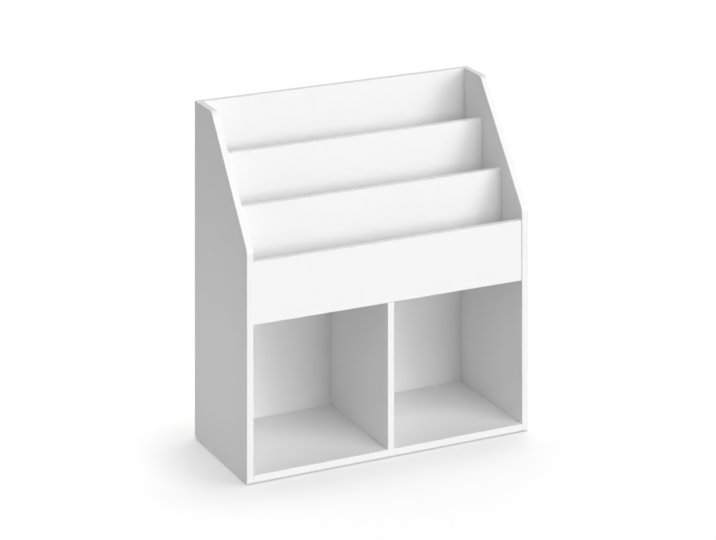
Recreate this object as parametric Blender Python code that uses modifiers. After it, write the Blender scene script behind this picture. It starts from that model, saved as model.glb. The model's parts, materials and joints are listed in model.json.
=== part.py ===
"""Kids bookcase: a laminated-board case with two open cubbies below and three stepped book pockets above.

Metres, +Z up, front towards -Y. The origin is on the floor, under the middle of the case.
Distances called depth run back from the sides' front edges, and levels run up from the case's underside.
"""

import math

import bmesh
import bpy
from mathutils import Matrix, Vector

# Boards and openings
BOARD = 0.016
BACK_THICKNESS = 0.003
CUBBY_WIDTH = 0.336
CUBBY_HEIGHT = 0.336
FRONT_RECESS = 0.002
POCKET_FRONT = 0.082
POCKET_MIDDLE = 0.079
POCKET_REAR = 0.077
POCKET_DEPTH = 0.125
FRONT_PANEL_HEIGHT = 0.141
MIDDLE_RISE = 0.095
REAR_RISE = 0.096
BACK_RISE = 0.100
FLOOR_DROP = 0.034
FRONT_LIP = 0.026
TOP_FLAT = 0.0975
FRONT_ROUND = 0.025
TOP_ROUND = 0.020
EDGE_EASE = 0.0007
BACK_INSET = 0.002
BACK_LAP = 0.040

# Clearances: between boards that meet, and round a fitting in its hole
JOINT_GAP = 0.0003
FIT = 0.0003

# Blind holes leave this much board behind them
FACE_SKIN = 0.005

# Wooden dowels
DOWEL_DIAMETER = 0.008
DOWEL_LENGTH = 0.030
DOWEL_CHAMFER = 0.001
DOWEL_SETBACK = 0.060
TIER_DOWEL_INSET = 0.120

# Cam locks and the bolts that they draw in
CAM_DIAMETER = 0.015
CAM_FLOOR = 0.0035
CAM_DISTANCE = 0.024
CAM_SETBACK = 0.060
CAM_SINK = 0.0002
CAM_OFFSET = 0.0008
CAM_PLAY = 0.0011
DRIVE_LENGTH = 0.007
DRIVE_WIDTH = 0.0013
DRIVE_DEPTH = 0.0015
EDGE_SETBACK = 0.040
BOLT_HEAD_DIAMETER = 0.0066
BOLT_HEAD_LENGTH = 0.0060
BOLT_HEAD_TAPER = 0.0016
BOLT_NECK_DIAMETER = 0.004
BOLT_SHAFT_DIAMETER = 0.006
BOLT_THREAD_DIAMETER = 0.005

# Assembly screws and their caps
SCREW_LENGTH = 0.050
SCREW_SETBACK = 0.044
SCREW_HEAD_DIAMETER = 0.0095
SCREW_HEAD_HEIGHT = 0.003
SCREW_SHANK_DIAMETER = 0.007
SCREW_CORE_DIAMETER = 0.0055
SCREW_TIP = 0.003
SCREW_SINK = 0.0004
SOCKET_DIAMETER = 0.004
SOCKET_DEPTH = 0.0025
CAP_DIAMETER = 0.011
CAP_HEIGHT = 0.0012
CAP_STEM = 0.0020

# Glides under the sides
GLIDE_HEIGHT = 0.003
GLIDE_MARGIN = 0.001
GLIDE_SETBACK = 0.030
GLIDE_ROUND = 0.0008
GLIDE_PIN_DIAMETER = 0.0022
GLIDE_PIN_LENGTH = 0.012

# Facets of round shapes, and how far a cutter runs past the face it enters
TURN_STEPS = 12
CAP_STEPS = 16
CAM_STEPS = 24
ARC_STEPS = 8
CUT_OVER = 0.002

# Widths, depths and levels that follow from the sizes above
INNER_WIDTH = 2 * CUBBY_WIDTH + BOARD
WIDTH = INNER_WIDTH + 2 * BOARD
DEPTH = FRONT_RECESS + 4 * BOARD + POCKET_FRONT + POCKET_MIDDLE + POCKET_REAR
FULL_DEPTH = DEPTH + JOINT_GAP + BACK_THICKNESS
SPAN = INNER_WIDTH - 2 * JOINT_GAP

FRONT_DEPTH = FRONT_RECESS
MIDDLE_DEPTH = FRONT_DEPTH + BOARD + POCKET_FRONT
REAR_DEPTH = MIDDLE_DEPTH + BOARD + POCKET_MIDDLE
UPPER_BACK_DEPTH = DEPTH - BOARD

SHELF_LEVEL = BOARD + CUBBY_HEIGHT
SHELF_TOP = SHELF_LEVEL + BOARD
FRONT_TOP = SHELF_LEVEL + FRONT_PANEL_HEIGHT
MIDDLE_TOP = FRONT_TOP + MIDDLE_RISE
REAR_TOP = MIDDLE_TOP + REAR_RISE
HEIGHT = REAR_TOP + BACK_RISE
MIDDLE_FLOOR = MIDDLE_TOP - POCKET_DEPTH - BOARD
REAR_FLOOR = REAR_TOP - POCKET_DEPTH - BOARD
REAR_BOTTOM = MIDDLE_FLOOR - FLOOR_DROP
UPPER_BACK_BOTTOM = REAR_FLOOR - FLOOR_DROP
BACK_TOP = UPPER_BACK_BOTTOM + BACK_LAP

HOLE_DEPTH = BOARD - FACE_SKIN
CAM_HEIGHT = BOARD - CAM_FLOOR
GLIDE_DIAMETER = BOARD - 2 * GLIDE_MARGIN
SIDES = {"left": -1, "right": 1}

# Axes that edge strips run along
ACROSS = 0
UPRIGHT = 2


def world(x, depth, level):
    """A point of the room from its place across the case, its depth and its level."""
    return Vector((x, depth - FULL_DEPTH / 2, GLIDE_HEIGHT + JOINT_GAP + level))


def frame(origin, z_axis, x_axis=None):
    """A placing with its Z, and if given its X, along these directions."""
    z = Vector(z_axis).normalized()
    x = Vector(x_axis) if x_axis else z.orthogonal()
    x.normalize()
    placing = Matrix((x, z.cross(x), z)).transposed().to_4x4()
    placing.translation = origin
    return placing


def clear_scene():
    for obj in list(bpy.data.objects):
        bpy.data.objects.remove(obj, do_unlink=True)


def new_collection(name):
    collection = bpy.data.collections.new(name)
    bpy.context.scene.collection.children.link(collection)
    return collection


def finish(name, colour, roughness, metallic=0.0):
    material = bpy.data.materials.new(name)
    material.use_nodes = True
    shader = material.node_tree.nodes["Principled BSDF"]
    shader.inputs["Base Color"].default_value = (*colour, 1.0)
    shader.inputs["Roughness"].default_value = roughness
    shader.inputs["Metallic"].default_value = metallic
    return material


clear_scene()
PARTS = new_collection("kids_bookcase")
CUTTERS = new_collection("cutters")
STAND = bpy.data.objects.new("kids_bookcase_origin", None)
PARTS.objects.link(STAND)

LAMINATE = finish("white_laminate", (0.87, 0.87, 0.87), 0.42)
HARDBOARD = finish("white_hardboard", (0.85, 0.85, 0.85), 0.55)
BEECH = finish("beech", (0.66, 0.48, 0.30), 0.70)
STEEL = finish("zinc_plated_steel", (0.66, 0.67, 0.69), 0.35, 1.0)
ZINC = finish("zinc_casting", (0.58, 0.59, 0.60), 0.45, 1.0)
CAP_PLASTIC = finish("white_cap_plastic", (0.86, 0.86, 0.86), 0.35)
GLIDE_PLASTIC = finish("white_glide_plastic", (0.80, 0.80, 0.79), 0.45)


def add_part(name, mesh, placing, material):
    obj = bpy.data.objects.new(name, mesh)
    obj.data.materials.clear()
    obj.data.materials.append(material)
    obj.parent = STAND
    obj.matrix_world = placing
    PARTS.objects.link(obj)
    return obj


def add_cutter(name, mesh, placing):
    obj = bpy.data.objects.new(name, mesh)
    obj.matrix_world = placing
    obj.hide_render = True
    obj.display_type = "WIRE"
    CUTTERS.objects.link(obj)
    return obj


def cut(part, cutter):
    hole = part.modifiers.new(cutter.name, "BOOLEAN")
    hole.operation = "DIFFERENCE"
    hole.solver = "EXACT"
    hole.object = cutter


def ease_edges(part):
    """The small radius of an edge strip, on the arrises and not along a rounded outline."""
    bevel = part.modifiers.new("Eased edges", "BEVEL")
    bevel.width = EDGE_EASE
    bevel.segments = 1
    bevel.limit_method = "ANGLE"
    bevel.angle_limit = math.radians(40)
    return bevel


def ease_edges_along(part, axis):
    """Eases the edges along one axis. The ends stay square, because they butt against other boards."""
    weights = part.data.attributes.new("bevel_weight_edge", "FLOAT", "EDGE")
    for edge, weight in zip(part.data.edges, weights.data):
        start, end = (part.data.vertices[index].co for index in edge.vertices)
        weight.value = abs((end - start).normalized()[axis])
    ease_edges(part).limit_method = "WEIGHT"


def box_mesh(name, size):
    mesh = bpy.data.meshes.new(name)
    shape = bmesh.new()
    bmesh.ops.create_cube(shape, size=1.0)
    bmesh.ops.scale(shape, vec=size, verts=shape.verts)
    shape.to_mesh(mesh)
    shape.free()
    return mesh


def cylinder_mesh(name, diameter, top, bottom, steps):
    """An upright cylinder between two heights."""
    mesh = bpy.data.meshes.new(name)
    shape = bmesh.new()
    bmesh.ops.create_cone(
        shape,
        cap_ends=True,
        segments=steps,
        radius1=diameter / 2,
        radius2=diameter / 2,
        depth=top - bottom,
        matrix=Matrix.Translation((0, 0, (top + bottom) / 2)),
    )
    shape.to_mesh(mesh)
    shape.free()
    return mesh


def evaluated_mesh(obj):
    bpy.context.view_layer.update()
    graph = bpy.context.evaluated_depsgraph_get()
    return bpy.data.meshes.new_from_object(obj.evaluated_get(graph))


def turned_mesh(name, profile, steps=TURN_STEPS):
    """A profile of (radius, height) pairs, from the top down, turned about Z."""
    mesh = bpy.data.meshes.new(name)
    points = [(radius, 0.0, height) for radius, height in profile]
    mesh.from_pydata(points, [(i, i + 1) for i in range(len(points) - 1)], [])
    blank = bpy.data.objects.new(name, mesh)
    CUTTERS.objects.link(blank)
    turn = blank.modifiers.new("Turn", "SCREW")
    turn.steps = steps
    turn.render_steps = steps
    turn.use_merge_vertices = True
    turn.merge_threshold = 0.00001
    turned = evaluated_mesh(blank)
    bpy.data.objects.remove(blank, do_unlink=True)
    turned.shade_smooth()
    turned.set_sharp_from_angle(angle=math.radians(40))
    return turned


def board(name, low, high, material=LAMINATE, strips_along=ACROSS):
    """A flat board between two corners, given as (x, depth, level), with edge strips along one axis."""
    low_corner, high_corner = world(*low), world(*high)
    placing = Matrix.Translation((low_corner + high_corner) / 2)
    part = add_part(name, box_mesh(name, high_corner - low_corner), placing, material)
    if strips_along is not None:
        ease_edges_along(part, strips_along)
    return part


def rounded_outline(corners):
    """The points of an outline whose corners, given as (x, y, radius), are round where they have a radius."""
    points = []
    for i, (x, y, radius) in enumerate(corners):
        here = Vector((x, y))
        if not radius:
            points.append(here)
            continue
        back = (Vector(corners[i - 1][:2]) - here).normalized()
        ahead = (Vector(corners[(i + 1) % len(corners)][:2]) - here).normalized()
        half = back.angle(ahead) / 2
        centre = here + (back + ahead).normalized() * radius / math.sin(half)
        start = here + back * radius / math.tan(half) - centre
        sweep = (here + ahead * radius / math.tan(half) - centre).angle_signed(start)
        for step in range(ARC_STEPS + 1):
            points.append(centre + Matrix.Rotation(sweep * step / ARC_STEPS, 2) @ start)
    return points


def side_panel(side):
    """A side: upright front edge, slope from above the front panel to the top, and a level top."""
    name = f"side_panel_{side}"
    corners = [
        (0.0, 0.0, 0.0),
        (DEPTH, 0.0, 0.0),
        (DEPTH, HEIGHT, 0.0),
        (DEPTH - TOP_FLAT, HEIGHT, TOP_ROUND),
        (0.0, FRONT_TOP + FRONT_LIP, FRONT_ROUND),
    ]
    outline = rounded_outline(corners)
    curve = bpy.data.curves.new(name, "CURVE")
    curve.dimensions = "2D"
    curve.fill_mode = "BOTH"
    curve.extrude = BOARD / 2
    spline = curve.splines.new("POLY")
    spline.points.add(len(outline) - 1)
    for point, (x, y) in zip(spline.points, outline):
        point.co = (x, y, 0.0, 1.0)
    spline.use_cyclic_u = True
    drawn = bpy.data.objects.new(name, curve)
    CUTTERS.objects.link(drawn)
    mesh = evaluated_mesh(drawn)
    bpy.data.objects.remove(drawn, do_unlink=True)
    shape = bmesh.new()
    shape.from_mesh(mesh)
    bmesh.ops.remove_doubles(shape, verts=shape.verts, dist=0.00001)
    bmesh.ops.dissolve_limit(shape, angle_limit=math.radians(1), verts=shape.verts, edges=shape.edges)
    shape.to_mesh(mesh)
    shape.free()
    middle = SIDES[side] * (WIDTH - BOARD) / 2
    placing = frame(world(middle, 0.0, 0.0), (1, 0, 0), (0, 1, 0))
    part = add_part(name, mesh, placing, LAMINATE)
    ease_edges(part)
    return part


def make_boards():
    half = SPAN / 2
    gap = JOINT_GAP
    boards = {f"side_{side}": side_panel(side) for side in SIDES}
    boards["bottom"] = board("bottom_panel", (-half, 0.0, 0.0), (half, DEPTH, BOARD))
    boards["shelf"] = board(
        "middle_shelf",
        (-half, FRONT_DEPTH + BOARD + gap, SHELF_LEVEL),
        (half, DEPTH, SHELF_TOP),
    )
    boards["divider"] = board(
        "divider_panel",
        (-BOARD / 2, 0.0, BOARD + gap),
        (BOARD / 2, DEPTH, SHELF_LEVEL - gap),
        strips_along=UPRIGHT,
    )
    boards["front"] = board(
        "front_panel",
        (-half, FRONT_DEPTH, SHELF_LEVEL),
        (half, FRONT_DEPTH + BOARD, FRONT_TOP),
    )
    boards["middle"] = board(
        "tier_panel_middle",
        (-half, MIDDLE_DEPTH, SHELF_TOP + gap),
        (half, MIDDLE_DEPTH + BOARD, MIDDLE_TOP),
    )
    boards["rear"] = board(
        "tier_panel_rear",
        (-half, REAR_DEPTH, REAR_BOTTOM),
        (half, REAR_DEPTH + BOARD, REAR_TOP),
    )
    boards["back"] = board(
        "upper_back_panel",
        (-half, UPPER_BACK_DEPTH, UPPER_BACK_BOTTOM),
        (half, DEPTH, HEIGHT),
    )
    boards["middle_floor"] = board(
        "pocket_floor_middle",
        (-half, MIDDLE_DEPTH + BOARD + gap, MIDDLE_FLOOR),
        (half, REAR_DEPTH - gap, MIDDLE_FLOOR + BOARD),
    )
    boards["rear_floor"] = board(
        "pocket_floor_rear",
        (-half, REAR_DEPTH + BOARD + gap, REAR_FLOOR),
        (half, UPPER_BACK_DEPTH - gap, REAR_FLOOR + BOARD),
    )
    back_half = WIDTH / 2 - BACK_INSET
    board(
        "back_panel",
        (-back_half, DEPTH + gap, BACK_INSET),
        (back_half, FULL_DEPTH, BACK_TOP),
        HARDBOARD,
        strips_along=None,
    )
    return boards


def dowel_profile(grow=0.0):
    """A chamfered pin with its middle at the origin, or the plain hole for it."""
    radius = DOWEL_DIAMETER / 2 + grow
    end = DOWEL_LENGTH / 2 + grow
    chamfer = 0.0 if grow else DOWEL_CHAMFER
    if not chamfer:
        return [(0.0, end), (radius, end), (radius, -end), (0.0, -end)]
    return [
        (0.0, end),
        (radius - chamfer, end),
        (radius, end - chamfer),
        (radius, chamfer - end),
        (radius - chamfer, -end),
        (0.0, -end),
    ]


class Dowels:
    """Dowels that stand in a face of one board and in the end or edge of another."""

    def __init__(self):
        self.pin = turned_mesh("dowel", dowel_profile())
        self.hole = turned_mesh("dowel_hole", dowel_profile(FIT))

    def add(self, name, seat, direction, face_board, end_board):
        """seat lies on the first board's face, and direction points from it into the second board."""
        axis = Vector(direction)
        middle = seat + axis * (DOWEL_LENGTH / 2 - HOLE_DEPTH)
        placing = frame(middle, axis)
        add_part(name, self.pin, placing, BEECH)
        hole = add_cutter(f"{name}_hole", self.hole, placing)
        cut(face_board, hole)
        cut(end_board, hole)


def bolt_profile():
    """A cam bolt, from the tip of its head down to its thread, with the side's face at height 0."""
    head = BOLT_HEAD_DIAMETER / 2
    neck = BOLT_NECK_DIAMETER / 2
    shaft = BOLT_SHAFT_DIAMETER / 2
    thread = BOLT_THREAD_DIAMETER / 2
    tip = CAM_DISTANCE + BOLT_HEAD_LENGTH / 2
    shoulder = CAM_DISTANCE - BOLT_HEAD_LENGTH / 2
    neck_end = CAM_DISTANCE - CAM_DIAMETER / 2 - BOLT_HEAD_TAPER
    return [
        (0.0, tip),
        (neck, tip),
        (head, tip - BOLT_HEAD_TAPER),
        (head, shoulder + BOLT_HEAD_TAPER),
        (neck, shoulder),
        (neck, neck_end),
        (shaft, neck_end - BOLT_HEAD_TAPER),
        (shaft, JOINT_GAP),
        (thread, JOINT_GAP),
        (thread, -HOLE_DEPTH),
        (0.0, -HOLE_DEPTH),
    ]


def bolt_hole_profile():
    """The bore in a board's end as far as the cam, and the blind hole in the side."""
    bore = BOLT_HEAD_DIAMETER / 2 + FIT
    thread = BOLT_THREAD_DIAMETER / 2 + FIT
    return [
        (0.0, CAM_DISTANCE),
        (bore, CAM_DISTANCE),
        (bore, JOINT_GAP / 2),
        (thread, JOINT_GAP / 2),
        (thread, -HOLE_DEPTH - FIT),
        (0.0, -HOLE_DEPTH - FIT),
    ]


def cam_mesh():
    """A cam: a drum with a cross recess on top, hollowed off centre from below and slotted for the bolt's neck."""
    base = -CAM_SINK - CAM_HEIGHT
    low = base - CUT_OVER
    blank_mesh = cylinder_mesh("cam_blank", CAM_DIAMETER, -CAM_SINK, base, CAM_STEPS)
    blank = add_cutter("cam_blank", blank_mesh, Matrix())
    hollow_top = BOLT_HEAD_DIAMETER / 2 + CAM_PLAY - BOARD / 2
    hollow_width = BOLT_HEAD_DIAMETER + 2 * CAM_PLAY
    hollow_mesh = cylinder_mesh("cam_hollow", hollow_width, hollow_top, low, CAM_STEPS)
    slot_top = BOLT_NECK_DIAMETER / 2 + FIT - BOARD / 2
    slot_size = Vector((CAM_DIAMETER, BOLT_NECK_DIAMETER + 2 * FIT, slot_top - low))
    slot_centre = Vector((CAM_DIAMETER / 2, 0.0, (slot_top + low) / 2))
    drive_centre = Vector((0.0, 0.0, -CAM_SINK))
    cutters = [
        add_cutter("cam_hollow", hollow_mesh, Matrix.Translation((-CAM_OFFSET, 0.0, 0.0))),
        add_cutter("cam_slot", box_mesh("cam_slot", slot_size), Matrix.Translation(slot_centre)),
    ]
    for turn in (45, 135):
        recess = box_mesh("cam_drive", Vector((DRIVE_LENGTH, DRIVE_WIDTH, 2 * DRIVE_DEPTH)))
        placing = Matrix.Translation(drive_centre) @ Matrix.Rotation(math.radians(turn), 4, "Z")
        cutters.append(add_cutter("cam_drive", recess, placing))
    for cutter in cutters:
        cut(blank, cutter)
    mesh = evaluated_mesh(blank)
    for spent in [blank, *cutters]:
        bpy.data.objects.remove(spent, do_unlink=True)
    mesh.shade_smooth()
    mesh.set_sharp_from_angle(angle=math.radians(40))
    return mesh


class CamJoints:
    """Cam locks let into a board's face near its end, each drawing in a bolt that stands in a side."""

    def __init__(self):
        self.bolt = turned_mesh("cam_bolt", bolt_profile())
        self.bolt_hole = turned_mesh("cam_bolt_hole", bolt_hole_profile())
        self.cam = cam_mesh()
        recess = CAM_DIAMETER + 2 * FIT
        floor = -CAM_SINK - CAM_HEIGHT - FIT
        self.cam_hole = cylinder_mesh("cam_hole", recess, CUT_OVER, floor, CAM_STEPS)

    def add(self, name, seat, inward, face, side_board, end_board):
        """seat is on the side's inner face at the board's mid-thickness, and face is the cam's open side."""
        axis, up = Vector(inward), Vector(face)
        placing = frame(seat, axis, up)
        add_part(f"cam_bolt_{name}", self.bolt, placing, STEEL)
        hole = add_cutter(f"cam_bolt_{name}_hole", self.bolt_hole, placing)
        cut(side_board, hole)
        cut(end_board, hole)
        placing = frame(seat + axis * CAM_DISTANCE + up * BOARD / 2, up, -axis)
        add_part(f"cam_lock_{name}", self.cam, placing, ZINC)
        cut(end_board, add_cutter(f"cam_lock_{name}_hole", self.cam_hole, placing))


def screw_profile():
    """An assembly screw with a round socket, from its head at the side's outer face down to its tip."""
    socket = SOCKET_DIAMETER / 2
    shank = SCREW_SHANK_DIAMETER / 2
    core = SCREW_CORE_DIAMETER / 2
    neck = -SCREW_SINK - SCREW_HEAD_HEIGHT
    step = -BOARD - SCREW_SINK
    return [
        (0.0, -SCREW_SINK - SOCKET_DEPTH),
        (socket, -SCREW_SINK - SOCKET_DEPTH),
        (socket, -SCREW_SINK),
        (SCREW_HEAD_DIAMETER / 2, -SCREW_SINK),
        (shank, neck),
        (shank, step),
        (core, step - SCREW_TIP),
        (core, SCREW_TIP - SCREW_LENGTH),
        (core - SCREW_TIP / 2, -SCREW_LENGTH),
        (0.0, -SCREW_LENGTH),
    ]


def screw_hole_profile():
    """The countersunk hole through a side and the pilot hole beyond it."""
    head = SCREW_HEAD_DIAMETER / 2 + FIT
    shank = SCREW_SHANK_DIAMETER / 2 + FIT
    core = SCREW_CORE_DIAMETER / 2 + FIT
    step = -BOARD - SCREW_SINK - FIT
    return [
        (0.0, CUT_OVER),
        (head, CUT_OVER),
        (head, -SCREW_SINK),
        (shank, -SCREW_SINK - SCREW_HEAD_HEIGHT),
        (shank, step),
        (core, step - SCREW_TIP),
        (core, -SCREW_LENGTH - FIT),
        (0.0, -SCREW_LENGTH - FIT),
    ]


def cap_profile():
    """A low domed cap with a stem for the screw's socket, its underside at height 0."""
    radius = CAP_DIAMETER / 2
    stem = SOCKET_DIAMETER / 2 - FIT
    dome = [math.radians(angle) for angle in (90, 60, 30, 0)]
    crown = [(radius * math.cos(a), CAP_HEIGHT * (1 + math.sin(a)) / 2) for a in dome]
    return [(0.0, CAP_HEIGHT), *crown[1:], (radius, 0.0), (stem, 0.0), (stem, -CAP_STEM), (0.0, -CAP_STEM)]


class TierScrews:
    """Capped screws through the sides into the ends of the tier panels."""

    def __init__(self):
        self.screw = turned_mesh("tier_screw", screw_profile())
        self.hole = turned_mesh("tier_screw_hole", screw_hole_profile())
        self.cap = turned_mesh("screw_cap", cap_profile(), CAP_STEPS)

    def add(self, name, seat, outward, side_board, end_board):
        """seat is on the side's outer face."""
        axis = Vector(outward)
        placing = frame(seat, axis, (0, 0, 1))
        add_part(f"tier_screw_{name}", self.screw, placing, STEEL)
        hole = add_cutter(f"tier_screw_{name}_hole", self.hole, placing)
        cut(side_board, hole)
        cut(end_board, hole)
        placing = frame(seat + axis * FIT, axis, (0, 0, 1))
        add_part(f"screw_cap_{name}", self.cap, placing, CAP_PLASTIC)


def glide_profile():
    """A nail-in glide, from the tip of its pin down to its foot, the foot's top at height 0."""
    pin = GLIDE_PIN_DIAMETER / 2
    foot = GLIDE_DIAMETER / 2
    return [
        (0.0, GLIDE_PIN_LENGTH),
        (pin, GLIDE_PIN_LENGTH - GLIDE_PIN_DIAMETER),
        (pin, 0.0),
        (foot, 0.0),
        (foot, GLIDE_ROUND - GLIDE_HEIGHT),
        (foot - GLIDE_ROUND, -GLIDE_HEIGHT),
        (0.0, -GLIDE_HEIGHT),
    ]


def glide_hole_profile():
    pin = GLIDE_PIN_DIAMETER / 2 + FIT
    end = GLIDE_PIN_LENGTH + FIT
    return [(0.0, end), (pin, end), (pin, -CUT_OVER), (0.0, -CUT_OVER)]


def join_case(boards, side):
    """The cam joints, dowels and screws of one side."""
    sign = SIDES[side]
    side_board = boards[f"side_{side}"]
    inward = (-sign, 0, 0)
    inner = sign * INNER_WIDTH / 2
    middle = BOARD / 2
    front = FRONT_DEPTH + middle
    back = UPPER_BACK_DEPTH + middle

    cam_places = {
        "bottom": (DEPTH - CAM_SETBACK, middle, (0, 0, -1)),
        "shelf": (DEPTH - CAM_SETBACK, SHELF_LEVEL + middle, (0, 0, 1)),
        "front": (front, FRONT_TOP - EDGE_SETBACK, (0, 1, 0)),
        "back": (back, HEIGHT - EDGE_SETBACK, (0, 1, 0)),
    }
    for key, (depth, level, face) in cam_places.items():
        seat = world(inner, depth, level)
        CAM_JOINTS.add(f"{key}_{side}", seat, inward, face, side_board, boards[key])

    dowel_places = {
        "bottom": (DOWEL_SETBACK, middle),
        "shelf": (DOWEL_SETBACK, SHELF_LEVEL + middle),
        "front": (front, SHELF_LEVEL + EDGE_SETBACK),
        "back": (back, UPPER_BACK_BOTTOM + EDGE_SETBACK),
        "middle_floor": (MIDDLE_DEPTH + BOARD + POCKET_MIDDLE / 2, MIDDLE_FLOOR + middle),
        "rear_floor": (REAR_DEPTH + BOARD + POCKET_REAR / 2, REAR_FLOOR + middle),
    }
    for key, (depth, level) in dowel_places.items():
        seat = world(inner, depth, level)
        DOWELS.add(f"dowel_{key}_{side}", seat, inward, side_board, boards[key])

    screw_places = {
        "middle": ("middle", MIDDLE_DEPTH, MIDDLE_TOP - SCREW_SETBACK),
        "rear_upper": ("rear", REAR_DEPTH, REAR_TOP - SCREW_SETBACK),
        "rear_lower": ("rear", REAR_DEPTH, REAR_BOTTOM + SCREW_SETBACK),
    }
    for name, (key, depth, level) in screw_places.items():
        seat = world(sign * WIDTH / 2, depth + middle, level)
        TIER_SCREWS.add(f"{name}_{side}", seat, (sign, 0, 0), side_board, boards[key])


def join_uprights(boards):
    """Dowels in the divider's ends and under the middle tier panel."""
    up, down = (0, 0, 1), (0, 0, -1)
    seat = world(0.0, DOWEL_SETBACK, BOARD)
    DOWELS.add("dowel_divider_bottom", seat, up, boards["bottom"], boards["divider"])
    seat = world(0.0, DOWEL_SETBACK, SHELF_LEVEL)
    DOWELS.add("dowel_divider_top", seat, down, boards["shelf"], boards["divider"])
    for side, sign in SIDES.items():
        x = sign * (SPAN / 2 - TIER_DOWEL_INSET)
        seat = world(x, MIDDLE_DEPTH + BOARD / 2, SHELF_TOP)
        DOWELS.add(f"dowel_tier_{side}", seat, up, boards["shelf"], boards["middle"])


def fit_glides(boards):
    glide = turned_mesh("glide", glide_profile(), CAP_STEPS)
    pin_hole = turned_mesh("glide_hole", glide_hole_profile())
    for side, sign in SIDES.items():
        for end, depth in (("front", GLIDE_SETBACK), ("rear", DEPTH - GLIDE_SETBACK)):
            name = f"glide_{side}_{end}"
            seat = world(sign * (WIDTH - BOARD) / 2, depth, -JOINT_GAP)
            placing = Matrix.Translation(seat)
            add_part(name, glide, placing, GLIDE_PLASTIC)
            cut(boards[f"side_{side}"], add_cutter(f"{name}_hole", pin_hole, placing))


DOWELS = Dowels()
CAM_JOINTS = CamJoints()
TIER_SCREWS = TierScrews()

BOARDS = make_boards()
for SIDE in SIDES:
    join_case(BOARDS, SIDE)
join_uprights(BOARDS)
fit_glides(BOARDS)
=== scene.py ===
"""Looks of a kids bookcase.

Finishes its boards and fittings, adds the nails of its back panel, and sets up the studio.
"""
import json
import math
from collections import namedtuple

import bpy
from bpy.props import FloatProperty, FloatVectorProperty, PointerProperty
from bpy.types import NodeSocket, Operator, Panel, PropertyGroup
from mathutils import Matrix, Vector


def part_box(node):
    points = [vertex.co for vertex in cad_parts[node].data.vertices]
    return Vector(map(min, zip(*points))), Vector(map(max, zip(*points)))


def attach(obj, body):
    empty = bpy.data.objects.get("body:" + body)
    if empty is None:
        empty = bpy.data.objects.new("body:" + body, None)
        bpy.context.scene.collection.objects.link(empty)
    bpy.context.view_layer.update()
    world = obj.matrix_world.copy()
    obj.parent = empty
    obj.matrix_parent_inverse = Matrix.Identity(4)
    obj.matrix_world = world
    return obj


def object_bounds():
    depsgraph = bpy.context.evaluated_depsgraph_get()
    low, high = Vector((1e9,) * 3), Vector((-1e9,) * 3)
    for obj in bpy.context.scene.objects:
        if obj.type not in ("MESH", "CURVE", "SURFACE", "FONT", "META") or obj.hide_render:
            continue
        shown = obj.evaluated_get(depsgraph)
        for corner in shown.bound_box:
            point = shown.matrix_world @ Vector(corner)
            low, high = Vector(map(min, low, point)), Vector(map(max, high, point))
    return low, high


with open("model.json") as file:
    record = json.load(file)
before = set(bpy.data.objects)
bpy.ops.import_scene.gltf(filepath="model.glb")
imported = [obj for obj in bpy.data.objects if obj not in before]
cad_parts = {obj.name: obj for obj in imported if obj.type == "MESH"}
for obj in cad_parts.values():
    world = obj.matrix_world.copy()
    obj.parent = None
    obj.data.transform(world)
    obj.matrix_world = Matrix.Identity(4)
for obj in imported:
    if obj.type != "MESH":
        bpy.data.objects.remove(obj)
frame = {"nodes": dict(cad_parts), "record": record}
CAD_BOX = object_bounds()

bl_info = {
    "name": "Kids Bookcase",
    "version": (1, 0, 0),
    "blender": (4, 5, 0),
    "location": "View3D > Sidebar > Bookcase",
    "description": "Finishes the boards and fittings of a kids bookcase and sets up its studio",
    "category": "Object",
}

ACROSS = Vector((1, 0, 0))
BACKWARDS = Vector((0, 1, 0))
UP = Vector((0, 0, 1))
AXES = (ACROSS, BACKWARDS, UP)

# Above this cosine to a board's thickness, a face is one of the board's two broad faces.
BROAD_FACE = 0.95
# Below this cosine, it is an edge that carries a strip. Between the two lies the eased corner.
EDGE_FACE = 0.5
# Gloss of laminate and lacquer, where 0.5 is that of plain plastic.
SATIN_SPECULAR = 0.35

# Millimetres.
FILM_WIDTH = 36.0
# Metres. The floor ends far outside every view, and the camera sees past its edge.
FLOOR_REACH = 60
VIEW_REACH = 200

# Bearing is measured from straight in front, towards the right, and height up from the floor.
# Spread is how wide the lamp looks from the case. All three are in degrees.
# Strength 1 shows a white face that looks straight at the lamp as white.
Lamp = namedtuple("Lamp", "name bearing height spread strength")
CASE_LAMPS = (
    Lamp("key_lamp", 0, 52, 40, 0.36),
    Lamp("low_front_lamp", 0, 3, 30, 0.16),
    Lamp("low_right_lamp", 20, 8, 40, 0.34),
    Lamp("right_lamp", 40, 18, 30, 0.40),
    Lamp("left_lamp", -80, 8, 40, 0.185),
    Lamp("top_lamp", 180, 72, 40, 0.15),
    Lamp("rear_lamp", 180, 10, 20, 0.60),
)
FLOOR_LAMPS = (
    Lamp("floor_key_lamp", 60, 80, 15, 0.31),
    Lamp("floor_right_lamp", 130, 75, 20, 0.20),
    Lamp("floor_rear_lamp", 180, 60, 90, 0.52),
)


def colour_property(name, description, default):
    """A linear colour that a user can change."""
    return FloatVectorProperty(
        name=name, description=description, subtype="COLOR", min=0, max=1, default=default)


def length_property(name, description, default):
    """A length in metres that a user can change."""
    return FloatProperty(
        name=name, description=description, unit="LENGTH", min=0, precision=5, default=default)


def share_property(name, description, default):
    """A plain number from 0 to 1 that a user can change."""
    return FloatProperty(
        name=name, description=description, subtype="FACTOR", min=0, max=1, default=default)


def ratio_property(name, description, default):
    """A plain number from 0 up that a user can change."""
    return FloatProperty(name=name, description=description, min=0, default=default)


def angle_property(name, description, degrees):
    """An angle that a user can change."""
    return FloatProperty(name=name, description=description, subtype="ANGLE", default=math.radians(degrees))


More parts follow.
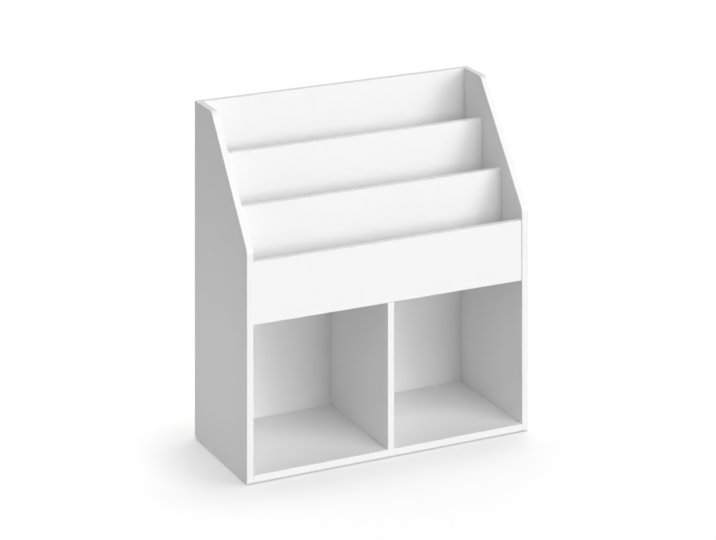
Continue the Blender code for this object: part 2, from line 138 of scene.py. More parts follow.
class BoardFinish(PropertyGroup):
    """White laminated chipboard."""
    face_colour: colour_property("Face Colour", "Laminate on the broad faces", (0.82, 0.82, 0.82))
    strip_colour: colour_property("Strip Colour", "Plastic strip on the edges", (0.82, 0.82, 0.82))
    chip_light: colour_property("Light Chips", "Palest chips of the core", (0.62, 0.47, 0.31))
    chip_dark: colour_property("Dark Chips", "Darkest chips of the core", (0.36, 0.24, 0.14))
    chip_size: length_property("Chip Size", "Width of one chip of the core", 0.0025)
    face_roughness: share_property("Face Roughness", "Satin laminate", 0.5)
    strip_roughness: share_property("Strip Roughness", "Edge strip, a little glossier", 0.44)
    pearl_size: length_property("Pearl Size", "Width of one bump of the laminate's fine relief", 0.0006)
    pearl_depth: length_property("Pearl Depth", "Depth of the laminate's fine relief", 0.000012)
    laminate_thickness: length_property("Laminate Thickness", "Chipboard shows deeper than this", 0.0004)
    glue_line: share_property("Glue Line", "How far the eased corners darken along the strips", 0.06)


class BackPanelFinish(PropertyGroup):
    """Hardboard, lacquered in front and bare behind."""
    lacquer_colour: colour_property("Lacquer Colour", "White lacquer on the front", (0.81, 0.81, 0.81))
    fibre_light: colour_property("Light Fibre", "Palest fibres behind", (0.41, 0.265, 0.15))
    fibre_dark: colour_property("Dark Fibre", "Darkest fibres behind", (0.30, 0.185, 0.098))
    fibre_size: length_property("Fibre Size", "Width of one fleck of fibre", 0.0011)
    lacquer_roughness: share_property("Lacquer Roughness", "Satin lacquer", 0.5)
    fibre_roughness: share_property("Fibre Roughness", "Bare pressed fibre", 0.82)
    screen_pitch: length_property("Screen Pitch", "Mesh width of the press screen's print behind", 0.0018)
    screen_depth: length_property("Screen Depth", "Depth of that print", 0.00012)


class FittingFinish(PropertyGroup):
    """Dowels, screws, bolts, cam locks, caps and glides."""
    beech_light: colour_property("Light Beech", "Palest grain of the dowels", (0.70, 0.52, 0.33))
    beech_dark: colour_property("Dark Beech", "Darkest grain of the dowels", (0.52, 0.35, 0.20))
    beech_roughness: share_property("Beech Roughness", "Bare turned wood", 0.7)
    grain_width: length_property("Grain Width", "Width of one streak of the dowels' grain", 0.0007)
    grain_length: length_property("Grain Length", "Length of one streak", 0.009)
    grain_depth: length_property("Grain Depth", "Depth of the grain", 0.00006)
    plating_colour: colour_property(
        "Plating Colour", "Zinc plating on screws, bolts and nails", (0.66, 0.67, 0.69))
    plating_roughness: share_property("Plating Roughness", "Bright plating", 0.32)
    casting_colour: colour_property("Casting Colour", "Cast zinc of the cam locks", (0.58, 0.59, 0.60))
    casting_roughness: share_property("Casting Roughness", "Dull casting", 0.48)
    cap_colour: colour_property("Cap Colour", "Caps over the screws", (0.86, 0.86, 0.86))
    cap_roughness: share_property("Cap Roughness", "Satin plastic", 0.45)
    glide_colour: colour_property("Glide Colour", "Glides under the sides", (0.70, 0.70, 0.69))
    glide_roughness: share_property("Glide Roughness", "Matt plastic", 0.6)


class BackNails(PropertyGroup):
    """Nails round the back panel."""
    spacing: length_property("Spacing", "About how far apart the nails of a row are", 0.115)
    end_inset: length_property("End Inset", "From the nails of a crossing row to a row's first nail", 0.055)
    head_diameter: length_property("Head Diameter", "Width of a nail's head", 0.0036)
    head_height: length_property("Head Height", "How far a head stands out", 0.0009)


class Studio(PropertyGroup):
    """Floor, lamps and camera."""
    lamp_level: ratio_property("Lamp Level", "Strength of every lamp", 1.0)
    floor_glow: share_property("Floor Glow", "Part of the floor's white that comes from all around", 0.39)
    # Painted shadow: the next four settings darken the floor's glow close to the case and under it, deepest
    # on the side away from the glow's bearing.
    painted_shadow_glow_share: share_property("Gap Glow", "Share of that glow that is left under the case", 0.2)
    painted_shadow_reach: length_property("Gap Reach", "How near something has to be to take that glow away", 0.04)
    # Painted shadow: this bearing and height only tilt the directions that darken the glow; no lamp stands
    # there.
    painted_shadow_bearing: angle_property(
        "Glow Bearing", "Where most of that glow comes from, to the right of the front", 65)
    painted_shadow_height: angle_property(
        "Glow Height", "How high above the floor most of that glow comes from", 15)
    floor_colour: share_property("Floor Colour", "Part of the floor's white that the lamps make", 0.66)
    floor_bounce: share_property("Floor Bounce", "Even light that the floor sends up to the case", 0.445)
    bounce_reach: length_property(
        "Bounce Reach", "How far under the front and rear edges that light starts", 0.008)
    side_distance: length_property(
        "Side Lamp Distance", "From the left side to the lamp close beside it", 0.5)
    side_height: length_property("Side Lamp Height", "Height of that lamp above the floor", 0.2)
    side_size: length_property("Side Lamp Size", "Width of that lamp", 0.3)
    side_level: share_property("Side Lamp Level", "Light that it throws on the middle of the side", 0.14)
    camera_turn: angle_property("Camera Turn", "Bearing of the camera, towards the left", 25.923)
    camera_distance: length_property("Camera Distance", "From the camera to the case's front, level", 6.397)
    camera_sidestep: length_property(
        "Camera Sidestep", "How far the camera stands to the left of that line", 0.0755)
    camera_height: length_property("Camera Height", "Height of the camera above the floor", 2.5503)
    camera_drop: ratio_property("Camera Drop", "Fall of the middle of the view over its run", 0.3314)
    camera_focus: ratio_property("Camera Focus", "Focal length in widths of the film", 3.8973)


class BookcaseSettings(PropertyGroup):
    """All settings of the bookcase."""
    boards: PointerProperty(name="Boards", description="Finish of the boards", type=BoardFinish)
    back_panel: PointerProperty(
        name="Back Panel", description="Finish of the thin back panel", type=BackPanelFinish)
    fittings: PointerProperty(name="Fittings", description="Finish of the fittings", type=FittingFinish)
    nails: PointerProperty(name="Nails", description="Nails round the back panel", type=BackNails)
    studio: PointerProperty(name="Studio", description="Floor, lamps and camera", type=Studio)


def nodes_with(slot):
    """The CAD objects that the record gives this material slot."""
    names = [part["node"] for part in frame["record"]["subparts"] if part["material_slot"] == slot]
    if not names:
        raise RuntimeError(f"The frame has no node with the slot {slot}")
    return [frame["nodes"][name] for name in names]


def extent(node):
    """A CAD object's size along each axis."""
    low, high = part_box(node.name)
    return high - low


def thinnest_axis(node):
    """The index of the axis along a board's thickness."""
    size = extent(node)
    return min(range(3), key=lambda axis: size[axis])


def longest_axis(node):
    """The index of the axis along a dowel."""
    size = extent(node)
    return max(range(3), key=lambda axis: size[axis])


def dress(node, material):
    """Gives a CAD object one material."""
    node.data.materials.clear()
    node.data.materials.append(material)


# Node helpers

def add_node(tree, kind, inputs=None, **options):
    """Adds a node, sets its options, and links or fills its inputs."""
    made = tree.nodes.new(kind)
    for option, value in options.items():
        setattr(made, option, value)
    for label, value in (inputs or {}).items():
        if isinstance(value, NodeSocket):
            tree.links.new(value, made.inputs[label])
        else:
            made.inputs[label].default_value = value
    return made


def maths(tree, operation, *values):
    """The result of a Math node."""
    return add_node(tree, "ShaderNodeMath", dict(enumerate(values)), operation=operation).outputs[0]


def vector_maths(tree, operation, *values):
    """The result of a Vector Math node."""
    made = add_node(tree, "ShaderNodeVectorMath", dict(enumerate(values)), operation=operation)
    return made.outputs["Value" if operation == "DOT_PRODUCT" else "Vector"]


def mix_values(tree, mask, first, second):
    """A number that goes from first to second with the mask."""
    return add_node(tree, "ShaderNodeMix", {0: mask, 2: first, 3: second}).outputs[0]


def mix_colours(tree, mask, first, second):
    """A colour that goes from first to second with the mask."""
    return add_node(tree, "ShaderNodeMix", {0: mask, 6: first, 7: second}, data_type="RGBA").outputs[2]


def opaque(colour):
    """A colour property with full alpha."""
    return (*colour, 1.0)


def object_place(tree):
    """Object coordinates."""
    return add_node(tree, "ShaderNodeTexCoord").outputs["Object"]


def face_cosine(tree, axis):
    """How squarely a face looks along an axis, from -1 to 1."""
    normal = add_node(tree, "ShaderNodeNewGeometry").outputs["True Normal"]
    return vector_maths(tree, "DOT_PRODUCT", normal, axis)


def start_group(name, inputs, outputs):
    """A new shader group with its input sockets and the sockets of its output node."""
    tree = bpy.data.node_groups.new(name, "ShaderNodeTree")
    for label, kind, default in inputs:
        socket = tree.interface.new_socket(label, in_out="INPUT", socket_type=kind)
        socket.default_value = default
    for label, kind in outputs:
        tree.interface.new_socket(label, in_out="OUTPUT", socket_type=kind)
    return tree, tree.nodes.new("NodeGroupInput").outputs, tree.nodes.new("NodeGroupOutput").inputs


def place_group(tree, group, **inputs):
    """A shader group in a material; an input Cloud_Size fills the socket Cloud Size."""
    named = {label.replace("_", " "): value for label, value in inputs.items()}
    return add_node(tree, "ShaderNodeGroup", named, node_tree=bpy.data.node_groups[group]).outputs


# Shared shader groups

def make_fine_grain():
    """Faint clouds in colour and gloss, over a fine relief."""
    tree, given, out = start_group(
        "fine_grain",
        [("Colour", "NodeSocketColor", (0.8, 0.8, 0.8, 1)), ("Tint", "NodeSocketFloat", 0.02),
         ("Roughness", "NodeSocketFloat", 0.5), ("Roughness Range", "NodeSocketFloat", 0.06),
         ("Cloud Size", "NodeSocketFloat", 0.08), ("Grain Size", "NodeSocketFloat", 0.0006)],
        [("Colour", "NodeSocketColor"), ("Roughness", "NodeSocketFloat"), ("Height", "NodeSocketFloat")])
    place = object_place(tree)
    cloud_scale = maths(tree, "DIVIDE", 1.0, given["Cloud Size"])
    clouds = add_node(tree, "ShaderNodeTexNoise", {"Vector": place, "Scale": cloud_scale, "Detail": 4.0})
    grain_scale = maths(tree, "DIVIDE", 1.0, given["Grain Size"])
    grain = add_node(tree, "ShaderNodeTexNoise", {"Vector": place, "Scale": grain_scale, "Detail": 1.0})
    noise_middle = 0.5
    drift = maths(tree, "SUBTRACT", clouds.outputs["Fac"], noise_middle)
    tone = maths(tree, "MULTIPLY_ADD", drift, given["Tint"], 1.0)
    tree.links.new(vector_maths(tree, "MULTIPLY", given["Colour"], tone), out["Colour"])
    gloss = maths(tree, "MULTIPLY_ADD", drift, given["Roughness Range"], given["Roughness"])
    tree.links.new(gloss, out["Roughness"])
    tree.links.new(grain.outputs["Fac"], out["Height"])


def make_fibre():
    """Streaks or flecks of two colours, stretched by the scale along each axis."""
    tree, given, out = start_group(
        "fibre",
        [("Light", "NodeSocketColor", (0.6, 0.45, 0.3, 1)),
         ("Dark", "NodeSocketColor", (0.4, 0.27, 0.16, 1)),
         ("Scale", "NodeSocketVector", (400, 400, 400))],
        [("Colour", "NodeSocketColor"), ("Height", "NodeSocketFloat")])
    place = vector_maths(tree, "MULTIPLY", object_place(tree), given["Scale"])
    streaks = add_node(
        tree, "ShaderNodeTexNoise", {"Vector": place, "Scale": 1.0, "Detail": 4.0, "Roughness": 0.65})
    flecks = add_node(tree, "ShaderNodeTexVoronoi", {"Vector": place, "Scale": 1.0})
    fleck = add_node(tree, "ShaderNodeSeparateColor", {"Color": flecks.outputs["Color"]}).outputs["Red"]
    fleck_share = 0.35
    share = mix_values(tree, fleck_share, streaks.outputs["Fac"], fleck)
    contrast = add_node(tree, "ShaderNodeMapRange", {"Value": share, "From Min": 0.25, "From Max": 0.75})
    tree.links.new(mix_colours(tree, contrast.outputs[0], given["Dark"], given["Light"]), out["Colour"])
    tree.links.new(share, out["Height"])


def make_board_build():
    """Where a board shows its edge strips, its eased corners and its chipboard core."""
    tree, given, out = start_group(
        "board_build",
        [("Thickness Axis", "NodeSocketVector", (0, 0, 1)), ("Low", "NodeSocketVector", (0, 0, 0)),
         ("High", "NodeSocketVector", (0, 0, 0)), ("Laminate", "NodeSocketFloat", 0.0004)],
        [("Strip", "NodeSocketFloat"), ("Corner", "NodeSocketFloat"), ("Core", "NodeSocketFloat")])
    square = maths(tree, "ABSOLUTE", face_cosine(tree, given["Thickness Axis"]))
    strip = maths(tree, "LESS_THAN", square, EDGE_FACE)
    tree.links.new(strip, out["Strip"])
    edge_or_corner = maths(tree, "LESS_THAN", square, BROAD_FACE)
    tree.links.new(maths(tree, "SUBTRACT", edge_or_corner, strip), out["Corner"])
    place = object_place(tree)
    above_low = vector_maths(tree, "SUBTRACT", place, given["Low"])
    below_high = vector_maths(tree, "SUBTRACT", given["High"], place)
    nearest = vector_maths(tree, "MINIMUM", above_low, below_high)
    depth = add_node(tree, "ShaderNodeSeparateXYZ", {0: nearest}).outputs
    least = maths(tree, "MINIMUM", maths(tree, "MINIMUM", depth["X"], depth["Y"]), depth["Z"])
    tree.links.new(maths(tree, "GREATER_THAN", least, given["Laminate"]), out["Core"])


def make_groups():
    """Builds the shared shader groups once."""
    makers = {"fine_grain": make_fine_grain, "fibre": make_fibre, "board_build": make_board_build}
    for name, make in makers.items():
        if name not in bpy.data.node_groups:
            make()


# Materials

def start_material(name):
    """A material with its node tree and its Principled BSDF."""
    make_groups()
    material = bpy.data.materials.new(name)
    material.use_nodes = True
    tree = material.node_tree
    return material, tree, tree.nodes["Principled BSDF"]


def relief(tree, shader, height, depth, strength=1.0):
    """Bumps a shader by a height from 0 to 1."""
    bump = add_node(tree, "ShaderNodeBump", {"Height": height, "Distance": depth, "Strength": strength})
    tree.links.new(bump.outputs["Normal"], shader.inputs["Normal"])


def laminated_board(node, look):
    """White laminate with edge strips, and chipboard inside the drilled holes."""
    material, tree, shader = start_material(f"laminate_{node.name}")
    low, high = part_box(node.name)
    # A side's sloped edge lies deep inside its box and would count as core, so a side gets an empty box.
    if node.name.startswith("side_panel"):
        high = low
    build = place_group(
        tree, "board_build", Thickness_Axis=AXES[thinnest_axis(node)], Low=low, High=high,
        Laminate=look.laminate_thickness)
    face = place_group(
        tree, "fine_grain", Colour=opaque(look.face_colour), Roughness=look.face_roughness,
        Grain_Size=look.pearl_size)
    strip = place_group(
        tree, "fine_grain", Colour=opaque(look.strip_colour), Roughness=look.strip_roughness,
        Cloud_Size=0.03, Grain_Size=look.pearl_size)
    core = place_group(
        tree, "fibre", Light=opaque(look.chip_light), Dark=opaque(look.chip_dark),
        Scale=(1 / look.chip_size,) * 3)
    white = mix_colours(tree, build["Strip"], face["Colour"], strip["Colour"])
    darkening = maths(tree, "MULTIPLY_ADD", build["Corner"], -look.glue_line, 1.0)
    edged = vector_maths(tree, "MULTIPLY", white, darkening)
    tree.links.new(mix_colours(tree, build["Core"], edged, core["Colour"]), shader.inputs["Base Color"])
    gloss = mix_values(tree, build["Strip"], face["Roughness"], strip["Roughness"])
    tree.links.new(gloss, shader.inputs["Roughness"])
    shader.inputs["Specular IOR Level"].default_value = SATIN_SPECULAR
    relief(tree, shader, face["Height"], look.pearl_depth)
    return material


def hardboard(look):
    """White lacquer in front; bare fibre with the print of a press screen behind and on the edges."""
    material, tree, shader = start_material("hardboard")
    bare = maths(tree, "GREATER_THAN", face_cosine(tree, BACKWARDS), -BROAD_FACE)
    lacquer = place_group(
        tree, "fine_grain", Colour=opaque(look.lacquer_colour), Roughness=look.lacquer_roughness,
        Grain_Size=0.0009)
    fibre = place_group(
        tree, "fibre", Light=opaque(look.fibre_light), Dark=opaque(look.fibre_dark),
        Scale=(1 / look.fibre_size,) * 3)
    pressed = place_group(
        tree, "fine_grain", Colour=fibre["Colour"], Tint=0.18, Roughness=look.fibre_roughness,
        Roughness_Range=0.1, Cloud_Size=0.06)
    colour = mix_colours(tree, bare, lacquer["Colour"], pressed["Colour"])
    tree.links.new(colour, shader.inputs["Base Color"])
    gloss = mix_values(tree, bare, lacquer["Roughness"], pressed["Roughness"])
    tree.links.new(gloss, shader.inputs["Roughness"])
    shader.inputs["Specular IOR Level"].default_value = SATIN_SPECULAR
    place = add_node(tree, "ShaderNodeSeparateXYZ", {0: object_place(tree)}).outputs
    turns = 2 * math.pi / look.screen_pitch
    waves = [maths(tree, "SINE", maths(tree, "MULTIPLY", place[axis], turns)) for axis in ("X", "Z")]
    print_share = 0.4
    mesh_print = maths(tree, "MULTIPLY", *waves)
    print_height = maths(tree, "MULTIPLY_ADD", mesh_print, print_share, fibre["Height"])
    height = mix_values(tree, bare, lacquer["Height"], print_height)
    relief(tree, shader, height, look.screen_depth, strength=0.5)
    return material


def beech(axis, look):
    """Bare beech with its grain along an axis."""
    material, tree, shader = start_material(f"beech_along_{'xyz'[axis]}")
    scale = [1 / look.grain_width] * 3
    scale[axis] = 1 / look.grain_length
    grain = place_group(
        tree, "fibre", Light=opaque(look.beech_light), Dark=opaque(look.beech_dark), Scale=scale)
    tree.links.new(grain["Colour"], shader.inputs["Base Color"])
    shader.inputs["Roughness"].default_value = look.beech_roughness
    relief(tree, shader, grain["Height"], look.grain_depth)
    return material


def metal(name, colour, roughness, grain_size, grain_depth):
    """Bare or plated zinc, with clouds in its gloss and a fine relief."""
    material, tree, shader = start_material(name)
    grain = place_group(
        tree, "fine_grain", Colour=opaque(colour), Tint=0.22, Roughness=roughness, Roughness_Range=0.3,
        Cloud_Size=0.004, Grain_Size=grain_size)
    tree.links.new(grain["Colour"], shader.inputs["Base Color"])
    tree.links.new(grain["Roughness"], shader.inputs["Roughness"])
    shader.inputs["Metallic"].default_value = 1.0
    relief(tree, shader, grain["Height"], grain_depth)
    return material


def moulded_plastic(name, colour, roughness):
    """White plastic with the fine grain of its mould."""
    material, tree, shader = start_material(name)
    grain = place_group(
        tree, "fine_grain", Colour=opaque(colour), Roughness=roughness, Cloud_Size=0.006, Grain_Size=0.0004)
    tree.links.new(grain["Colour"], shader.inputs["Base Color"])
    tree.links.new(grain["Roughness"], shader.inputs["Roughness"])
    mould_depth = 0.00001
    relief(tree, shader, grain["Height"], mould_depth)
    return material


def zinc_plating(look):
    """The bright zinc of screws, bolts and nails."""
    known = bpy.data.materials.get("zinc_plating")
    return known or metal(
        "zinc_plating", look.plating_colour, look.plating_roughness, grain_size=0.0008,
        grain_depth=0.000006)


# Finishing operators

class BOOKCASE_OT_finish_boards(Operator):
    """Gives each laminated board its white faces, edge strips and chipboard core"""
    bl_idname = "bookcase.finish_boards"
    bl_label = "Finish Boards"

    def execute(self, context):
        for node in nodes_with("white_laminate"):
            dress(node, laminated_board(node, context.scene.bookcase.boards))
        return {"FINISHED"}


class BOOKCASE_OT_finish_back_panel(Operator):
    """Gives the back panel its lacquered front and bare rear"""
    bl_idname = "bookcase.finish_back_panel"
    bl_label = "Finish Back Panel"

    def execute(self, context):
        for node in nodes_with("white_hardboard"):
            dress(node, hardboard(context.scene.bookcase.back_panel))
        return {"FINISHED"}


class BOOKCASE_OT_finish_dowels(Operator):
    """Gives the dowels beech with its grain along them"""
    bl_idname = "bookcase.finish_dowels"
    bl_label = "Finish Dowels"

    def execute(self, context):
        look = context.scene.bookcase.fittings
        along = {node: longest_axis(node) for node in nodes_with("beech")}
        grains = {axis: beech(axis, look) for axis in sorted(set(along.values()))}
        for node, axis in along.items():
            dress(node, grains[axis])
        return {"FINISHED"}


class BOOKCASE_OT_finish_screws(Operator):
    """Gives the screws and cam bolts their zinc plating"""
    bl_idname = "bookcase.finish_screws"
    bl_label = "Finish Screws and Cam Bolts"

    def execute(self, context):
        for node in nodes_with("zinc_plated_steel"):
            dress(node, zinc_plating(context.scene.bookcase.fittings))
        return {"FINISHED"}


class BOOKCASE_OT_finish_cam_locks(Operator):
    """Gives the cam locks dull cast zinc"""
    bl_idname = "bookcase.finish_cam_locks"
    bl_label = "Finish Cam Locks"

    def execute(self, context):
        look = context.scene.bookcase.fittings
        casting = metal(
            "zinc_casting", look.casting_colour, look.casting_roughness, grain_size=0.0005,
            grain_depth=0.00003)
        for node in nodes_with("zinc_casting"):
            dress(node, casting)
        return {"FINISHED"}


class BOOKCASE_OT_finish_plastics(Operator):
    """Gives the screw caps and the glides their moulded plastic"""
    bl_idname = "bookcase.finish_plastics"
    bl_label = "Finish Caps and Glides"

    def execute(self, context):
        look = context.scene.bookcase.fittings
        cap_plastic = moulded_plastic("cap_plastic", look.cap_colour, look.cap_roughness)
        glide_plastic = moulded_plastic("glide_plastic", look.glide_colour, look.glide_roughness)
        for node in nodes_with("white_cap_plastic"):
            dress(node, cap_plastic)
        for node in nodes_with("white_glide_plastic"):
            dress(node, glide_plastic)
        return {"FINISHED"}


# Back nails

def middle(name):
    """The middle of a CAD node's box."""
    low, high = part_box(name)
    return (low + high) / 2


def nail_rows(inset):
    """Start and end of each row of nails, on the rear face of the back panel."""
    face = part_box("back_panel")[1].y
    left = middle("side_panel_left").x
    right = middle("side_panel_right").x
    bottom = middle("bottom_panel").z
    shelf = middle("middle_shelf").z
    # The back panel overlaps the upper one, and the top row goes through the middle of that overlap.
    top = (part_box("back_panel")[1].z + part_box("upper_back_panel")[0].z) / 2
    divider = middle("divider_panel").x
    rows = [((x, bottom), (x, top)) for x in (left, right)]
    rows += [((left + inset, z), (right - inset, z)) for z in (bottom, shelf, top)]
    rows.append(((divider, bottom + inset), (divider, shelf - inset)))
    return [[Vector((x, face, z)) for x, z in row] for row in rows]


def nail_tree(rows, material):
    """Geometry nodes that set domed nail heads along straight rows."""
    tree = bpy.data.node_groups.new("nail_rows", "GeometryNodeTree")
    for label, default in (("Spacing", 0.1), ("Head Diameter", 0.004), ("Head Height", 0.001)):
        socket = tree.interface.new_socket(label, in_out="INPUT", socket_type="NodeSocketFloat")
        socket.default_value = default
    for number, _ in enumerate(rows, 1):
        for end in ("Start", "End"):
            tree.interface.new_socket(f"Row {number} {end}", in_out="INPUT", socket_type="NodeSocketVector")
    tree.interface.new_socket("Geometry", in_out="OUTPUT", socket_type="NodeSocketGeometry")
    given = tree.nodes.new("NodeGroupInput").outputs
    joined = tree.nodes.new("GeometryNodeJoinGeometry")
    for number, _ in enumerate(rows, 1):
        ends = {end: given[f"Row {number} {end}"] for end in ("Start", "End")}
        line = add_node(tree, "GeometryNodeCurvePrimitiveLine", ends)
        row = add_node(
            tree, "GeometryNodeResampleCurve", {"Curve": line.outputs[0], "Length": given["Spacing"]},
            mode="LENGTH")
        tree.links.new(row.outputs[0], joined.inputs[0])
    rim_share = 0.86
    dome_fall = 0.6
    radius = maths(tree, "MULTIPLY", given["Head Diameter"], 0.5)
    rim = maths(tree, "MULTIPLY", radius, rim_share)
    disc = add_node(
        tree, "GeometryNodeMeshCone",
        {"Vertices": 14, "Side Segments": 1, "Fill Segments": 3, "Radius Bottom": radius, "Radius Top": rim,
         "Depth": given["Head Height"]})
    place = add_node(tree, "GeometryNodeInputPosition").outputs[0]
    part = add_node(tree, "ShaderNodeSeparateXYZ", {0: place}).outputs
    flat = add_node(tree, "ShaderNodeCombineXYZ", {"X": part["X"], "Y": part["Y"]}).outputs[0]
    reach = add_node(tree, "ShaderNodeVectorMath", {0: flat}, operation="LENGTH").outputs["Value"]
    share = maths(tree, "DIVIDE", reach, radius)
    fall = maths(tree, "MULTIPLY_ADD", maths(tree, "MULTIPLY", share, share), -dome_fall, 1.0)
    height = maths(tree, "MULTIPLY", part["Z"], fall)
    raised = add_node(tree, "ShaderNodeCombineXYZ", {"X": part["X"], "Y": part["Y"], "Z": height})
    dome = add_node(
        tree, "GeometryNodeSetPosition", {"Geometry": disc.outputs["Mesh"], "Position": raised.outputs[0]})
    smooth = add_node(tree, "GeometryNodeSetShadeSmooth", {"Geometry": dome.outputs[0]})
    facing = add_node(
        tree, "GeometryNodeTransform", {"Geometry": smooth.outputs[0], "Rotation": (-math.pi / 2, 0, 0)})
    heads = add_node(
        tree, "GeometryNodeInstanceOnPoints", {"Points": joined.outputs[0], "Instance": facing.outputs[0]})
    real = add_node(tree, "GeometryNodeRealizeInstances", {"Geometry": heads.outputs[0]})
    finished = add_node(
        tree, "GeometryNodeSetMaterial", {"Geometry": real.outputs[0], "Material": material})
    tree.links.new(finished.outputs[0], tree.nodes.new("NodeGroupOutput").inputs[0])
    return tree


class BOOKCASE_OT_add_nails(Operator):
    """Nails the back panel to the boards that it covers"""
    bl_idname = "bookcase.add_nails"
    bl_label = "Add Back Nails"

    def execute(self, context):
        size = context.scene.bookcase.nails
        rows = nail_rows(size.end_inset)
        tree = nail_tree(rows, zinc_plating(context.scene.bookcase.fittings))
        values = {
            "Spacing": size.spacing, "Head Diameter": size.head_diameter, "Head Height": size.head_height}
        for number, (start, end) in enumerate(rows, 1):
            values[f"Row {number} Start"] = start
            values[f"Row {number} End"] = end
        source = bpy.data.objects.new("nail_source", bpy.data.meshes.new("nail_source"))
        context.scene.collection.objects.link(source)
        modifier = source.modifiers.new("Nail Rows", "NODES")
        modifier.node_group = tree
        for socket in tree.interface.items_tree:
            if socket.in_out == "INPUT":
                modifier[socket.identifier] = values[socket.name]
        graph = context.evaluated_depsgraph_get()
        mesh = bpy.data.meshes.new_from_object(source.evaluated_get(graph), depsgraph=graph)
        bpy.data.objects.remove(source)
        if not mesh.polygons:
            raise RuntimeError("The nail rows came out empty")
        nails = bpy.data.objects.new("back_panel_nails", mesh)
        context.scene.collection.objects.link(nails)
        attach(nails, "root")
        return {"FINISHED"}


# Studio

def seen_rays(tree):
    """1 for rays that show a surface or its reflection, 0 for rays that only carry light."""
    path = add_node(tree, "ShaderNodeLightPath").outputs
    shown = maths(tree, "MAXIMUM", path["Is Camera Ray"], path["Is Glossy Ray"])
    return maths(tree, "MAXIMUM", shown, path["Is Transmission Ray"])


def direction(bearing, height):
    """Points away from the case, turned to the right from the front and raised from level."""
    level = math.cos(height)
    return Vector((math.sin(bearing) * level, -math.cos(bearing) * level, math.sin(height)))


def beside_case(tree, edge_reach):
    """1 on the open floor and just under the front and rear edges, and 0 under the rest of the case."""
    sideways, back, _ = add_node(tree, "ShaderNodeSeparateXYZ", {0: object_place(tree)}).outputs
    past_side = maths(tree, "GREATER_THAN", maths(tree, "ABSOLUTE", sideways), CAD_BOX[1].x)
    past_edge = maths(tree, "GREATER_THAN", maths(tree, "ABSOLUTE", back), CAD_BOX[1].y - edge_reach)
    return maths(tree, "MAXIMUM", past_side, past_edge)


def glow_with_painted_shadow(tree, studio):
    """The strength of the floor's glow, which fades close to the case and under it into a painted shadow.
    """
    painted_shadow_opening = add_node(
        tree, "ShaderNodeCombineXYZ", dict(enumerate(direction(studio.painted_shadow_bearing, studio.painted_shadow_height))))
    # Painted shadow: ambient occlusion close to the case darkens the glow.
    painted_shadow_openness = add_node(
        tree, "ShaderNodeAmbientOcclusion",
        {"Distance": studio.painted_shadow_reach, "Normal": painted_shadow_opening.outputs[0]})
    # Where half of the directions are free, as right before the front, the glow is full; where fewer are
    # free, it darkens into the painted shadow.
    beside_front = 0.5
    share = add_node(
        tree, "ShaderNodeMapRange",
        {"Value": painted_shadow_openness.outputs["AO"], "From Max": beside_front, "To Min": studio.painted_shadow_glow_share})
    return maths(tree, "MULTIPLY", share.outputs[0], studio.floor_glow)


def white_floor(studio):
    """A floor that shows as white with soft shadows from its lamps and a painted shadow close to and under
    the case, and sends even light up to the case.
    """
    material = bpy.data.materials.new("floor_white")
    material.use_nodes = True
    tree = material.node_tree
    tree.nodes.clear()
    lit_floor = beside_case(tree, studio.bounce_reach)
    bounce = add_node(
        tree, "ShaderNodeEmission", {"Strength": maths(tree, "MULTIPLY", lit_floor, studio.floor_bounce)})
    lit = add_node(tree, "ShaderNodeBsdfDiffuse", {"Color": opaque((studio.floor_colour,) * 3)})
    # Painted shadow: this glow is darkened close to the case and under it.
    glow = add_node(tree, "ShaderNodeEmission", {"Strength": glow_with_painted_shadow(tree, studio)})
    shown = add_node(tree, "ShaderNodeAddShader", {0: lit.outputs[0], 1: glow.outputs[0]})
    surface = add_node(
        tree, "ShaderNodeMixShader", {0: seen_rays(tree), 1: bounce.outputs[0], 2: shown.outputs[0]})
    add_node(tree, "ShaderNodeOutputMaterial", {"Surface": surface.outputs[0]})
    return material


def add_floor(scene, studio):
    """A wide floor under the glides."""
    signs = ((-1, -1), (1, -1), (1, 1), (-1, 1))
    corners = [(x * FLOOR_REACH, y * FLOOR_REACH, 0) for x, y in signs]
    mesh = bpy.data.meshes.new("floor")
    mesh.from_pydata(corners, [], [(0, 1, 2, 3)])
    mesh.materials.append(white_floor(studio))
    floor = bpy.data.objects.new("floor", mesh)
    scene.collection.objects.link(floor)
    return floor


def add_world(scene):
    """A white surround that shows behind the case and in its gloss, and lights nothing."""
    world = bpy.data.worlds.new("white_surround")
    world.use_nodes = True
    tree = world.node_tree
    tree.nodes.clear()
    surround = add_node(tree, "ShaderNodeBackground", {"Color": (1, 1, 1, 1), "Strength": seen_rays(tree)})
    add_node(tree, "ShaderNodeOutputWorld", {"Surface": surround.outputs[0]})
    scene.world = world


def link_lamp(lamp, floor, link_state):
    """Makes a lamp light either everything but the floor, or the floor alone."""
    receivers = bpy.data.collections.new(f"lit_by_{lamp.name}")
    receivers.objects.link(floor)
    receivers.collection_objects[0].light_linking.link_state = link_state
    lamp.light_linking.receiver_collection = receivers


def add_lamp(scene, studio, lamp, floor, link_state):
    """A wide soft lamp, far away."""
    light = bpy.data.lights.new(lamp.name, "SUN")
    light.energy = math.pi * lamp.strength * studio.lamp_level
    light.angle = math.radians(lamp.spread)
    made = bpy.data.objects.new(lamp.name, light)
    scene.collection.objects.link(made)
    source = direction(math.radians(lamp.bearing), math.radians(lamp.height))
    made.rotation_euler = source.to_track_quat("Z", "Y").to_euler()
    link_lamp(made, floor, link_state)


def add_side_lamp(scene, studio, floor):
    """A low lamp close beside the left side, whose light fades up the side."""
    light = bpy.data.lights.new("side_lamp", "AREA")
    light.size = studio.side_size
    # At that distance, this power lights the side as strongly as a far lamp of that level would.
    light.energy = (math.pi * studio.side_distance) ** 2 * studio.side_level * studio.lamp_level
    made = bpy.data.objects.new("side_lamp", light)
    scene.collection.objects.link(made)
    made.location = (CAD_BOX[0].x - studio.side_distance, 0, studio.side_height)
    made.rotation_euler = (0, -math.pi / 2, 0)
    made.visible_camera = False
    made.visible_glossy = False
    link_lamp(made, floor, "EXCLUDE")


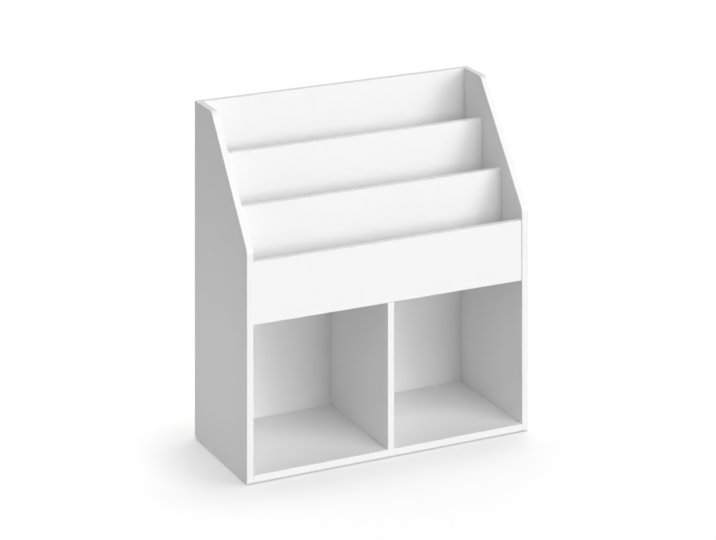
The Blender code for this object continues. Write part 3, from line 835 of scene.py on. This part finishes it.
def add_camera(scene, studio):
    """A camera with its film upright, as a view camera's, so that the boards' uprights stay upright."""
    turn = -studio.camera_turn
    right = Vector((math.cos(turn), math.sin(turn), 0))
    ahead = Vector((-math.sin(turn), math.cos(turn), 0))
    # The view falls while the film stays upright, which draws the focal length out by this much.
    stretch = math.sqrt(1 + studio.camera_drop ** 2)
    back = (UP * studio.camera_drop - ahead) / stretch
    front_middle = Vector((0, CAD_BOX[0].y, 0))
    place = front_middle - ahead * studio.camera_distance - right * studio.camera_sidestep
    place.z = studio.camera_height
    film = Matrix((right, UP, back)).transposed().to_4x4()
    film.translation = place
    data = bpy.data.cameras.new("camera")
    data.sensor_width = FILM_WIDTH
    data.lens = FILM_WIDTH * studio.camera_focus * stretch
    data.clip_end = VIEW_REACH
    stand = bpy.data.objects.new("camera_stand", None)
    camera = bpy.data.objects.new("camera", data)
    for made in (stand, camera):
        scene.collection.objects.link(made)
    camera.parent = stand
    camera.matrix_parent_inverse = film
    scene.camera = camera


class BOOKCASE_OT_build_studio(Operator):
    """Sets the white floor and surround, the lamps and the camera"""
    bl_idname = "bookcase.build_studio"
    bl_label = "Build Studio"

    def execute(self, context):
        scene = context.scene
        studio = scene.bookcase.studio
        scene.view_settings.view_transform = "Standard"
        floor = add_floor(scene, studio)
        add_world(scene)
        for lamp in CASE_LAMPS:
            add_lamp(scene, studio, lamp, floor, "EXCLUDE")
        add_side_lamp(scene, studio, floor)
        for lamp in FLOOR_LAMPS:
            add_lamp(scene, studio, lamp, floor, "INCLUDE")
        add_camera(scene, studio)
        return {"FINISHED"}


OPERATORS = (
    BOOKCASE_OT_finish_boards,
    BOOKCASE_OT_finish_back_panel,
    BOOKCASE_OT_finish_dowels,
    BOOKCASE_OT_finish_screws,
    BOOKCASE_OT_finish_cam_locks,
    BOOKCASE_OT_finish_plastics,
    BOOKCASE_OT_add_nails,
    BOOKCASE_OT_build_studio,
)


class BOOKCASE_PT_sidebar(Panel):
    """Lists the bookcase's steps"""
    bl_idname = "BOOKCASE_PT_sidebar"
    bl_label = "Kids Bookcase"
    bl_space_type = "VIEW_3D"
    bl_region_type = "UI"
    bl_category = "Bookcase"

    def draw(self, context):
        for operator in OPERATORS:
            self.layout.operator(operator.bl_idname)
        look = context.scene.bookcase
        for group in (look.boards, look.back_panel, look.fittings, look.nails, look.studio):
            box = self.layout.box()
            for name in group.bl_rna.properties.keys():
                if name not in {"rna_type", "name"}:
                    box.prop(group, name)


CLASSES = (
    BoardFinish,
    BackPanelFinish,
    FittingFinish,
    BackNails,
    Studio,
    BookcaseSettings,
    *OPERATORS,
    BOOKCASE_PT_sidebar,
)


def register():
    """Registers the classes and hangs the settings on the scene."""
    for made in CLASSES:
        bpy.utils.register_class(made)
    bpy.types.Scene.bookcase = PointerProperty(type=BookcaseSettings)


def unregister():
    """Takes the settings and the classes away again."""
    del bpy.types.Scene.bookcase
    for made in reversed(CLASSES):
        bpy.utils.unregister_class(made)


def main():
    register()
    bpy.ops.bookcase.finish_boards()
    bpy.ops.bookcase.finish_back_panel()
    bpy.ops.bookcase.finish_dowels()
    bpy.ops.bookcase.finish_screws()
    bpy.ops.bookcase.finish_cam_locks()
    bpy.ops.bookcase.finish_plastics()
    bpy.ops.bookcase.add_nails()
    bpy.ops.bookcase.build_studio()


if __name__ == "__main__":
    main()
